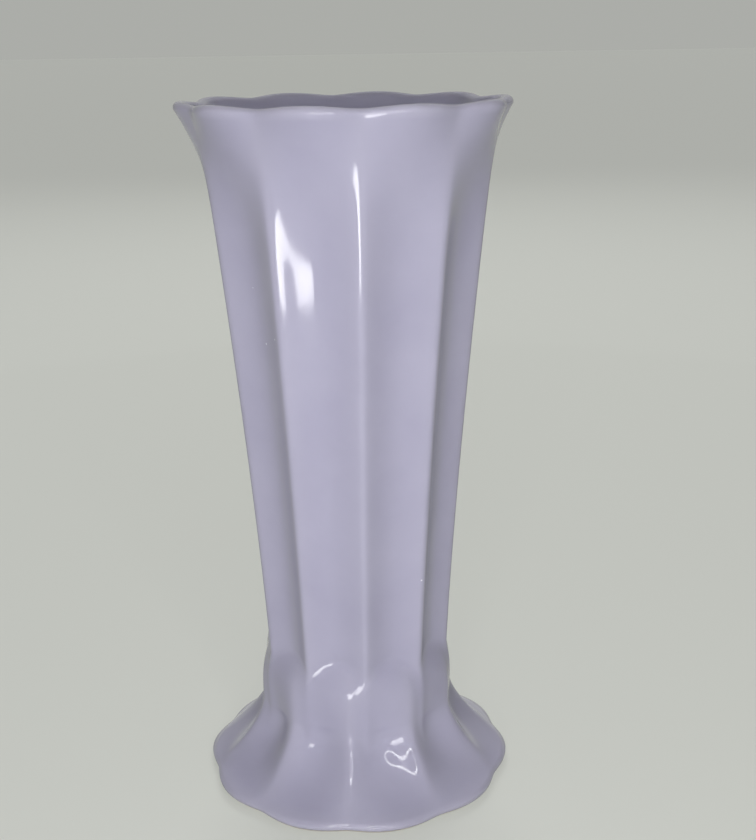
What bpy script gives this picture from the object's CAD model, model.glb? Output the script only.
from math import atan2, cos, pi, radians, sin, sqrt

import bmesh
import bpy
from mathutils import Matrix, Vector


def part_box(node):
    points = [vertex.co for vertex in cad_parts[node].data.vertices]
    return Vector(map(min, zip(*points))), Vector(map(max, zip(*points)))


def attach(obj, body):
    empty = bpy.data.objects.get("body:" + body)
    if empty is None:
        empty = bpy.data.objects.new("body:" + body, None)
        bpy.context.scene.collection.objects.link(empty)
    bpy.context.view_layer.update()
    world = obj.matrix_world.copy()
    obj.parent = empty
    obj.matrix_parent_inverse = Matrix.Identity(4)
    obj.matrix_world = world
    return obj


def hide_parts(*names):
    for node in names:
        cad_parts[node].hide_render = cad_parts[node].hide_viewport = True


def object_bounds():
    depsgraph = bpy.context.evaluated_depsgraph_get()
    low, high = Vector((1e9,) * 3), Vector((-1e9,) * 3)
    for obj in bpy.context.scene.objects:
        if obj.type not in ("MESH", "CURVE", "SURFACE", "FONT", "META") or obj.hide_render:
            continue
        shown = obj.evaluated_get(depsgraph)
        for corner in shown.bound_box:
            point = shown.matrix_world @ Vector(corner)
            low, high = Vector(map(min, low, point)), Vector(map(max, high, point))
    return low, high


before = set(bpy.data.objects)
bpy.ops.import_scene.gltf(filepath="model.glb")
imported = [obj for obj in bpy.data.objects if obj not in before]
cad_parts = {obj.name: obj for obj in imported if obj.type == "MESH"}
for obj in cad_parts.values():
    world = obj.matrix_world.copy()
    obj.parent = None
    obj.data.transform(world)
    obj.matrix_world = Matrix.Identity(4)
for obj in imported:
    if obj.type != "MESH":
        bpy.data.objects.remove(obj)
cad_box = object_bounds()

# Body casting
# The fluted trumpet is cast from white slip in a plaster mould, and closed by its own floor.
# Its ten flutes run up into the lobes of the rim, and every surface of it is under glaze.
MM = 0.001


def linear(hex_colour):
    """An sRGB hex colour as the linear RGBA that the shaders take."""
    parts = [int(hex_colour[place:place + 2], 16) / 255 for place in (1, 3, 5)]
    return [c / 12.92 if c <= 0.04045 else ((c + 0.055) / 1.055) ** 2.4 for c in parts] + [1.0]


def put(tree, kind, sets=None, feeds=None, **settings):
    """Adds a shader node with its settings, its socket values and the links that feed it."""
    added = tree.nodes.new("ShaderNode" + kind)
    for name, value in settings.items():
        setattr(added, name, value)
    for socket, value in (sets or {}).items():
        added.inputs[socket].default_value = value
    for socket, source in (feeds or {}).items():
        tree.links.new(source, added.inputs[socket])
    return added


def fired_clay(name, clay, bloom):
    """Bare earthenware: matt, with cloudy patches of bloom and a fine sandy tooth."""
    material = bpy.data.materials.new(name)
    material.use_nodes = True
    tree = material.node_tree
    shader = tree.nodes["Principled BSDF"]
    place = put(tree, "TexCoord").outputs["Object"]
    patch_size = 14 * MM
    grit_size = 0.8 * MM
    clouds = put(tree, "TexNoise", {"Scale": 1 / patch_size, "Detail": 4.0}, {"Vector": place})
    grit = put(tree, "TexNoise", {"Scale": 1 / grit_size, "Detail": 2.0}, {"Vector": place})
    ramp = put(tree, "ValToRGB", feeds={"Fac": clouds.outputs["Fac"]})
    ramp.color_ramp.elements[0].position = 0.35
    ramp.color_ramp.elements[0].color = linear(clay)
    ramp.color_ramp.elements[1].position = 0.7
    ramp.color_ramp.elements[1].color = linear(bloom)
    bump = put(tree, "Bump", {"Strength": 0.35, "Distance": 0.2 * MM}, {"Height": grit.outputs["Fac"]})
    tree.links.new(ramp.outputs["Color"], shader.inputs["Base Color"])
    tree.links.new(bump.outputs["Normal"], shader.inputs["Normal"])
    shader.inputs["Roughness"].default_value = 0.85
    shader.inputs["IOR"].default_value = 1.5
    return material


earthenware = fired_clay("bare white earthenware", "#d8d0c3", "#c6bcae")
LOBES = 10
HEIGHT = cad_box[1][2]
RIM_LOBE = 59.0 * MM
RIM_CUSP = 53.5 * MM
STEM_RIDGE = 34.6 * MM
FLUTE_DEPTH = 4.0 * MM
FLUTE_DEEPENING = 1.6 * MM
FLARE_LENGTH = 54.0 * MM
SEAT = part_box("fluted_body")[0][2]
RIDGE_AZIMUTH = 6.3
RIM_DIP = 1.1 * MM
DIP_LENGTH = 14.0 * MM
RIDGE_SOFTNESS = 0.22
CUSP_SOFTNESS = 0.9
RIM_FILL = 2.2 * MM
FLUTE_FULLNESS = 0.8
WALL = 5.0 * MM
LIP_HEIGHT = 2.4 * MM
INSIDE_FLOOR = 36.5 * MM
FLOOR_CORNER = 5.0 * MM
COAT = 0.5 * MM
STEM_POWER = 1.36
FLARE_POWER = 2.3
RING_VERTICES = 240


def flute_share(azimuth, first_ridge, softness):
    """0 on a ridge and 1 in the middle of a flute, with the ridge rounded over."""
    turn = (azimuth - radians(first_ridge)) * LOBES / 2
    soft = sqrt(sin(turn) ** 2 + softness ** 2) - softness
    return (soft / (sqrt(1 + softness ** 2) - softness)) ** FLUTE_FULLNESS


def flare_at(height):
    """0 on the stem, rising to 1 where the flare meets the lip."""
    return max(0.0, 1 - max(0.0, HEIGHT - LIP_HEIGHT - height) / FLARE_LENGTH) ** FLARE_POWER


def body_radius(height, azimuth):
    """Radius of the glazed body, whose flutes open into the rim's lobes."""
    rise = max(0.0, (height - SEAT) / (HEIGHT - SEAT))
    ridge = STEM_RIDGE + (RIM_CUSP - STEM_RIDGE) * rise ** STEM_POWER
    flare = flare_at(height)
    depth = FLUTE_DEPTH + FLUTE_DEEPENING * rise
    flute = ridge - depth + (depth + RIM_LOBE - RIM_CUSP) * flare
    ridge += RIM_FILL * flare ** 2
    softness = RIDGE_SOFTNESS + (CUSP_SOFTNESS - RIDGE_SOFTNESS) * flare
    return ridge + (flute - ridge) * flute_share(azimuth, RIDGE_AZIMUTH, softness)


def rim_drop(height, azimuth):
    """How far the rim dips towards its cusps."""
    near_rim = min(1.0, max(0.0, 1 - (HEIGHT - height) / DIP_LENGTH))
    return RIM_DIP * (1 - flute_share(azimuth, RIDGE_AZIMUTH, CUSP_SOFTNESS)) * near_rim ** 2


def lip_stations(inset, steps):
    """Height and inset of points over the rounded lip, from its outside to its inside."""
    half = WALL / 2 - inset
    low = HEIGHT - LIP_HEIGHT
    turns = [pi * step / steps for step in range(steps + 1)]
    return [(low + (LIP_HEIGHT - inset) * sin(t), WALL / 2 - half * cos(t)) for t in turns]


def between(start, end, count):
    """Evenly spaced values after start, up to and with end."""
    return [start + (end - start) * step / count for step in range(1, count + 1)]


def grow_rings(piece, stations, put_vertex):
    """Extrudes a ring through the stations, and draws each new vertex to its place."""
    bpy.ops.object.mode_set(mode="EDIT")
    bpy.ops.mesh.select_all(action="SELECT")
    for count, station in enumerate(stations):
        if count:
            bpy.ops.mesh.extrude_edges_move()
        ring = bmesh.from_edit_mesh(piece.data)
        for vertex in ring.verts:
            if vertex.select:
                vertex.co = put_vertex(atan2(vertex.co.x, -vertex.co.y), station)
        bmesh.update_edit_mesh(piece.data)


def polar(radius, azimuth, height):
    """A point at an azimuth from the front, positive towards the right."""
    return Vector((radius * sin(azimuth), -radius * cos(azimuth), height))


def start_ring(name, vertices):
    """A new ring of vertices, alone in its object and ready to be extruded."""
    bpy.ops.object.select_all(action="DESELECT")
    bpy.ops.mesh.primitive_circle_add(vertices=vertices, radius=RIM_LOBE, fill_type="NOTHING")
    piece = bpy.context.object
    piece.name = name
    piece.data.name = name
    return piece


def face_outwards():
    """Turns all the faces of the piece being edited outwards, and leaves edit mode."""
    bpy.ops.mesh.select_all(action="SELECT")
    bpy.ops.mesh.normals_make_consistent(inside=False)
    bpy.ops.object.mode_set(mode="OBJECT")


def close_piece():
    """Merges the last small ring, turns the faces outwards and smooths the shading."""
    bpy.ops.mesh.merge(type="CENTER")
    face_outwards()
    bpy.ops.object.shade_smooth()


def cap_end():
    """Closes the small ring that a casting began with."""
    bpy.ops.object.mode_set(mode="EDIT")
    bpy.ops.mesh.select_all(action="DESELECT")
    bpy.ops.mesh.select_non_manifold()
    bpy.ops.mesh.edge_face_add()
    face_outwards()


def put_on_body(azimuth, station):
    """Places a ring vertex of the body casting, on its wall or across its floor and base."""
    height, inset, share = station
    radius = (body_radius(height, azimuth) - inset) * share
    return polar(radius, azimuth, height - rim_drop(height, azimuth))


casting = start_ring("body_casting", RING_VERTICES)
BASE_SHARES = (0.05, 0.5, 1.0)
wall_heights = between(SEAT, HEIGHT - FLARE_LENGTH, 8)
wall_heights += between(HEIGHT - FLARE_LENGTH, HEIGHT - LIP_HEIGHT, 10)[:-1]
casting_stations = [(SEAT, COAT, share) for share in BASE_SHARES]
casting_stations += [(height, COAT, 1.0) for height in wall_heights]
casting_stations += [(height, inset, 1.0) for height, inset in lip_stations(COAT, 8)]
inner_heights = [height for height in reversed(wall_heights) if height > INSIDE_FLOOR]
casting_stations += [(height, WALL - COAT, 1.0) for height in inner_heights]
casting_stations += [(INSIDE_FLOOR - COAT, WALL - COAT, share) for share in reversed(BASE_SHARES)]
grow_rings(casting, casting_stations, put_on_body)
close_piece()
cap_end()
casting.data.materials.append(earthenware)
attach(casting, "root")
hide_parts("fluted_body")

# Luting slip
# The clay slip that was brushed between the foot's web and the body's floor before firing. It is the
# same clay, a little greyer because it was wetter and holds more of the fines.
fired_slip = fired_clay("fired luting slip", "#c9c0b3", "#b8afa3")
slip_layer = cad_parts["luting_slip"]
slip_layer.data.materials.clear()
slip_layer.data.materials.append(fired_slip)

# Foot casting
# The lobed bell foot, cast from the same slip, with a socket that the body was luted into. It is bare
# in its hollow and on the dry ring that it stands on, chalky there and greyed where it was sponged.
FOOT_LOBE = 58.4 * MM
FOOT_NOTCH = 56.4 * MM
FOOT_NECK = 37.4 * MM
FOOT_TOP = 29.8 * MM
FOOT_SCOOP = 2.2 * MM
SCOOP_DEEPENING = 3.0 * MM
FOOT_SOFTNESS = 0.6
NECK_HEIGHT = 30.0 * MM
FOOT_HEIGHT = 54.0 * MM
EDGE_HEIGHT = 3.0 * MM
EDGE_ROUND = 2.0 * MM
DRY_EDGE = 1.6 * MM
FOOT_AZIMUTH = -3.5
FOOT_WALL = 5.5 * MM
WEB = 24.0 * MM
SOCKET_TOP = FOOT_HEIGHT - 2 * MM
SOCKET_FLOOR = SEAT - 1 * MM
BELL_POWER = 1.6
CLOSING_POWER = 4
LOBE_POWER = 4


def foot_radius(height, azimuth):
    """Radius of the glazed foot: lobed at its edge, scooped above, and closing on the body."""
    level = max(height, EDGE_HEIGHT)
    drop = max(0.0, (NECK_HEIGHT - level) / (NECK_HEIGHT - EDGE_HEIGHT))
    closing = max(0.0, (level - NECK_HEIGHT) / (FOOT_HEIGHT - NECK_HEIGHT))
    ridge = FOOT_NECK + (FOOT_NOTCH - FOOT_NECK) * drop ** BELL_POWER
    ridge -= (FOOT_NECK - FOOT_TOP) * closing ** CLOSING_POWER
    depth = FOOT_SCOOP * max(0.0, 1 - closing) + SCOOP_DEEPENING * 4 * drop * (1 - drop)
    scoop = ridge - depth + (FOOT_SCOOP + FOOT_LOBE - FOOT_NOTCH) * drop ** LOBE_POWER
    under = max(0.0, 1 - height / EDGE_HEIGHT)
    tuck = EDGE_ROUND * (1 - sqrt(1 - under ** 2))
    share = flute_share(azimuth, FOOT_AZIMUTH, FOOT_SOFTNESS)
    return ridge + (scoop - ridge) * share - tuck


def put_on_foot(azimuth, station):
    """Places a ring vertex of the foot casting: in the hollow, outside, or down in the socket."""
    height, side, share = station
    if side == "hollow":
        radius = foot_radius(max(height, EDGE_HEIGHT), azimuth) - COAT - FOOT_WALL
    else:
        radius = foot_radius(height, azimuth) - COAT
    if side == "socket":
        radius = min(radius, body_radius(height, azimuth) - COAT)
    return polar(radius * share, azimuth, height)


foot_casting = start_ring("foot_casting", RING_VERTICES)
foot_stations = [(WEB, "hollow", share) for share in BASE_SHARES]
foot_stations += [(height, "hollow", 1.0) for height in between(WEB, 0.0, 10)]
foot_stations += [(height, "outside", 1.0) for height in [0.0] + between(0.0, EDGE_HEIGHT, 5)]
foot_stations += [(height, "outside", 1.0) for height in between(EDGE_HEIGHT, NECK_HEIGHT, 20)]
foot_stations += [(height, "outside", 1.0) for height in between(NECK_HEIGHT, SOCKET_TOP, 14)]
foot_stations += [(height, "socket", 1.0) for height in [SOCKET_TOP] + between(SOCKET_TOP, SOCKET_FLOOR, 6)]
foot_stations += [(SOCKET_FLOOR, "socket", share) for share in reversed(BASE_SHARES[:-1])]
grow_rings(foot_casting, foot_stations, put_on_foot)
close_piece()
cap_end()
foot_casting.data.materials.append(earthenware)
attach(foot_casting, "root")
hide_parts("pedestal_foot")

# Glaze coat
# A lead-free lavender gloss glaze, poured inside and dipped outside, that fires to one unbroken glass
# over body, lip and foot. It runs thin and pale on the ridges and the lip, and pools in the flutes,
# the scoops of the foot and the corner where the foot closes round the body.
SHOULDER_BLEND = 4.0 * MM
FLOOR_SHARES = (0.8, 0.55, 0.3, 0.1)
RIDGE_THINNING = 0.25
LIP_THINNING = 4.0 * MM
EDGE_THINNING = 6.0 * MM
SKIN_THICKNESS = 0.9 * COAT


def coat_radius(height, azimuth):
    """Radius of the glaze outside: the larger of body and foot, with the corner between them filled."""
    body = body_radius(height, azimuth)
    foot = foot_radius(height, azimuth)
    fill = max(0.0, SHOULDER_BLEND - abs(body - foot)) ** 2 / (4 * SHOULDER_BLEND)
    return max(body, foot) + fill


def put_on_coat(azimuth, station):
    """Places a ring vertex of the glaze, outside, over the lip, inside or on the floor."""
    height, inset, share = station
    if inset > 0:
        radius = (body_radius(height, azimuth) - inset) * share
    else:
        radius = coat_radius(height, azimuth)
    return polar(radius, azimuth, height - rim_drop(height, azimuth))


coat = start_ring("glaze_coat", RING_VERTICES)
outside = [DRY_EDGE] + between(DRY_EDGE, EDGE_HEIGHT, 4) + between(EDGE_HEIGHT, NECK_HEIGHT, 24)
outside += between(NECK_HEIGHT, FOOT_HEIGHT + SHOULDER_BLEND, 30)
outside += between(FOOT_HEIGHT + SHOULDER_BLEND, HEIGHT - FLARE_LENGTH, 22)
outside += between(HEIGHT - FLARE_LENGTH, HEIGHT - LIP_HEIGHT, 24)
inside = between(HEIGHT - LIP_HEIGHT, HEIGHT - FLARE_LENGTH, 16)
inside += between(HEIGHT - FLARE_LENGTH, INSIDE_FLOOR + FLOOR_CORNER, 16)
coat_stations = [(height, 0.0, 1.0) for height in outside]
coat_stations += [(height, inset, 1.0) for height, inset in lip_stations(0.0, 14)[1:]]
coat_stations += [(height, WALL, 1.0) for height in inside]
for turn in between(0.0, pi / 2, 5):
    height = INSIDE_FLOOR + FLOOR_CORNER * (1 - sin(turn))
    coat_stations.append((height, WALL + FLOOR_CORNER * (1 - cos(turn)), 1.0))
coat_stations += [(INSIDE_FLOOR, WALL + FLOOR_CORNER, share) for share in FLOOR_SHARES]
grow_rings(coat, coat_stations, put_on_coat)
close_piece()


def thinness(vertex):
    """1 where the glaze runs thin, on a ridge, the lip or the foot's edge, down to 0 where it pools."""
    azimuth = atan2(vertex.co.x, -vertex.co.y)
    height = vertex.co.z
    on_foot = foot_radius(height, azimuth) > body_radius(height, azimuth)
    ridge = 1 - flute_share(azimuth, FOOT_AZIMUTH if on_foot else RIDGE_AZIMUTH, RIDGE_SOFTNESS)
    lip = max(0.0, 1 - (HEIGHT - height) / LIP_THINNING)
    edge = max(0.0, 1 - height / EDGE_THINNING)
    return max(RIDGE_THINNING * ridge ** 2, lip, edge)


thin = coat.data.attributes.new("thin_glaze", "FLOAT", "POINT")
for vertex in coat.data.vertices:
    thin.data[vertex.index].value = thinness(vertex)
shell = coat.modifiers.new("coat_thickness", "SOLIDIFY")
shell.thickness = SKIN_THICKNESS
shell.offset = -1
bpy.ops.object.modifier_apply(modifier=shell.name)

glaze = bpy.data.materials.new("lavender gloss glaze")
glaze.use_nodes = True
tree = glaze.node_tree
shader = tree.nodes["Principled BSDF"]
place = put(tree, "TexCoord").outputs["Object"]
thin_glaze = put(tree, "Attribute", attribute_name="thin_glaze").outputs["Fac"]
CLOUD_SIZE = 30 * MM
FLECK_SIZE = 3.5 * MM
FLECK_REACH = 0.12
FLECK_CORE = 0.08
FLECK_RARITY = 0.996
PEEL_SIZE = 9 * MM
clouds = put(tree, "TexNoise", {"Scale": 1 / CLOUD_SIZE, "Detail": 3.0}, {"Vector": place})
tint = put(tree, "ValToRGB", feeds={"Fac": clouds.outputs["Fac"]})
tint.color_ramp.elements[0].position = 0.3
tint.color_ramp.elements[0].color = linear("#a9a6be")
tint.color_ramp.elements[1].position = 0.7
tint.color_ramp.elements[1].color = linear("#b0adc4")
paler = put(tree, "Mix", {7: linear("#bdbacd")}, {0: thin_glaze, 6: tint.outputs["Color"]},
            data_type="RGBA")
flecks = put(tree, "TexVoronoi", {"Scale": 1 / FLECK_SIZE}, {"Vector": place})
fleck_edge = put(tree, "MapRange", {"From Min": FLECK_REACH, "From Max": FLECK_CORE},
                 {"Value": flecks.outputs["Distance"]})
fleck_pick = put(tree, "SeparateColor", feeds={"Color": flecks.outputs["Color"]})
fleck_few = put(tree, "Math", {1: FLECK_RARITY}, {0: fleck_pick.outputs["Red"]}, operation="GREATER_THAN")
fleck = put(tree, "Math", feeds={0: fleck_edge.outputs["Result"], 1: fleck_few.outputs["Value"]},
            operation="MULTIPLY")
specked = put(tree, "Mix", {7: linear("#e9e8f2")}, {0: fleck.outputs["Value"], 6: paler.outputs[2]},
              data_type="RGBA")
peel = put(tree, "TexNoise", {"Scale": 1 / PEEL_SIZE, "Detail": 1.0}, {"Vector": place})
bump = put(tree, "Bump", {"Strength": 0.25, "Distance": 0.05 * MM}, {"Height": peel.outputs["Fac"]})
tree.links.new(specked.outputs[2], shader.inputs["Base Color"])
tree.links.new(bump.outputs["Normal"], shader.inputs["Normal"])
shader.inputs["Roughness"].default_value = 0.08
shader.inputs["IOR"].default_value = 1.52
coat.data.materials.append(glaze)
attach(coat, "root")
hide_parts("body_glaze", "foot_glaze", "lining_glaze")

# Floor
# A plain matt surface under the vase, wide enough to fill every view of it. It is mid-grey for the
# light that it bounces up, and a glow that only the seen rays meet shows it pale.
FLOOR_SIZE = 60.0
bpy.ops.object.select_all(action="DESELECT")
bpy.ops.mesh.primitive_plane_add(size=FLOOR_SIZE)
floor = bpy.context.object
floor.name = "floor"
floor_paint = bpy.data.materials.new("pale matt paper")
floor_paint.use_nodes = True
tree = floor_paint.node_tree
paper = tree.nodes["Principled BSDF"]
paper.inputs["Base Color"].default_value = linear("#8c8e88")
paper.inputs["Roughness"].default_value = 0.9
FLOOR_GLOW = 0.4


def seen_rays(tree):
    """1 for the rays that show the background: straight, mirrored or through glass."""
    rays = put(tree, "LightPath").outputs
    mirrored = put(tree, "Math", feeds={0: rays["Is Camera Ray"], 1: rays["Is Glossy Ray"]}, operation="ADD")
    through = {0: mirrored.outputs["Value"], 1: rays["Is Transmission Ray"]}
    return put(tree, "Math", feeds=through, operation="ADD", use_clamp=True).outputs["Value"]


paper.inputs["Emission Color"].default_value = linear("#f4f6f0")
floor_glow = put(tree, "Math", {1: FLOOR_GLOW}, {0: seen_rays(tree)}, operation="MULTIPLY")
tree.links.new(floor_glow.outputs["Value"], paper.inputs["Emission Strength"])
floor.data.materials.append(floor_paint)

# Light
# Soft studio light: a dim even surround, a broad low lamp in front to the left, weak ones overhead and
# behind, a small panel that lies in front of the vase, and a ring lamp round the camera. The lamps that
# stand low or behind have a narrow spread, so that they leave no bright patches on the floor.
world = bpy.data.worlds.new("pale surround")
bpy.context.scene.world = world
world.use_nodes = True
tree = world.node_tree
SURROUND = 0.09
BACKGROUND = 0.445
level = put(tree, "MapRange", {"To Min": SURROUND, "To Max": BACKGROUND}, {"Value": seen_rays(tree)})
surround = tree.nodes["Background"]
surround.inputs["Color"].default_value = linear("#f6f8f2")
tree.links.new(level.outputs["Result"], surround.inputs["Strength"])


def lamp(name, place, aim, width, height, watts):
    """A rectangular soft lamp, turned to face its aim, that no camera sees."""
    data = bpy.data.lights.new(name, "AREA")
    data.shape = "RECTANGLE"
    data.size = width
    data.size_y = height
    data.energy = watts
    holder = bpy.data.objects.new(name, data)
    bpy.context.collection.objects.link(holder)
    holder.location = place
    holder.rotation_euler = (Vector(aim) - Vector(place)).to_track_quat("-Z", "Y").to_euler()
    holder.visible_camera = False
    return holder


broad_lamp = lamp("broad_low_lamp", (-0.10, -1.1, 0.13), (0, 0, 0.09), 0.4, 0.22, 0.8)
broad_lamp.visible_glossy = False
top_lamp = lamp("overhead_lamp", (0.0, 0.5, 2.0), (0, 0.5, 0), 3.0, 3.0, 4.0)
top_lamp.visible_glossy = False
back_lamp = lamp("back_lamp", (0.0, 2.4, 1.9), (0, 0, 0.13), 2.0, 1.5, 12.0)
back_lamp.visible_glossy = False
panel_lamp = lamp("low_panel", (-0.06, -0.52, 0.02), (0, 0, 0.19), 0.16, 0.15, 0.17)
LAMP_SPREAD = 80
for narrow_lamp in (broad_lamp, back_lamp, panel_lamp):
    narrow_lamp.data.spread = radians(LAMP_SPREAD)

bpy.ops.object.select_all(action="DESELECT")
RING_PLACE = Vector((0.05, -0.50, 0.33))
RING_AIM = Vector((0, 0, 0.12))
RING_RADIUS = 0.12
RING_TUBE = 0.011
RING_GLOW = 13.0
bpy.ops.mesh.primitive_torus_add(major_radius=RING_RADIUS, minor_radius=RING_TUBE,
                                 major_segments=64, minor_segments=10)
ring_lamp = bpy.context.object
ring_lamp.name = "ring_lamp"
facing = (RING_AIM - RING_PLACE).to_track_quat("-Z", "Y").to_matrix().to_4x4()
ring_lamp.data.transform(Matrix.Translation(RING_PLACE) @ facing)
glow = bpy.data.materials.new("ring lamp diffuser")
glow.use_nodes = True
glow_shader = glow.node_tree.nodes["Principled BSDF"]
glow_shader.inputs["Emission Color"].default_value = linear("#ffffff")
glow_shader.inputs["Emission Strength"].default_value = RING_GLOW
ring_lamp.data.materials.append(glow)
ring_lamp.visible_camera = False
ring_lamp.visible_shadow = False

# Camera
# The photograph's viewpoint: a little above the rim, close in, looking down on the foot.
IMAGE_HEIGHT = 840
FOCAL_PIXELS = 1271
SENSOR = 36.0
PITCH = 16.59
ROLL = -0.92
CAMERA_PLACE = (9.7 * MM, -450.7 * MM, 272.4 * MM)
lens = bpy.data.cameras.new("camera")
lens.sensor_width = SENSOR
lens.lens = SENSOR * FOCAL_PIXELS / IMAGE_HEIGHT
camera = bpy.data.objects.new("camera", lens)
bpy.context.collection.objects.link(camera)
turn = Matrix.Rotation(radians(90 - PITCH), 4, "X") @ Matrix.Rotation(radians(ROLL), 4, "Z")
camera.matrix_world = Matrix.Translation(CAMERA_PLACE) @ turn
bpy.context.scene.camera = camera
bpy.context.scene.view_settings.view_transform = "Standard"
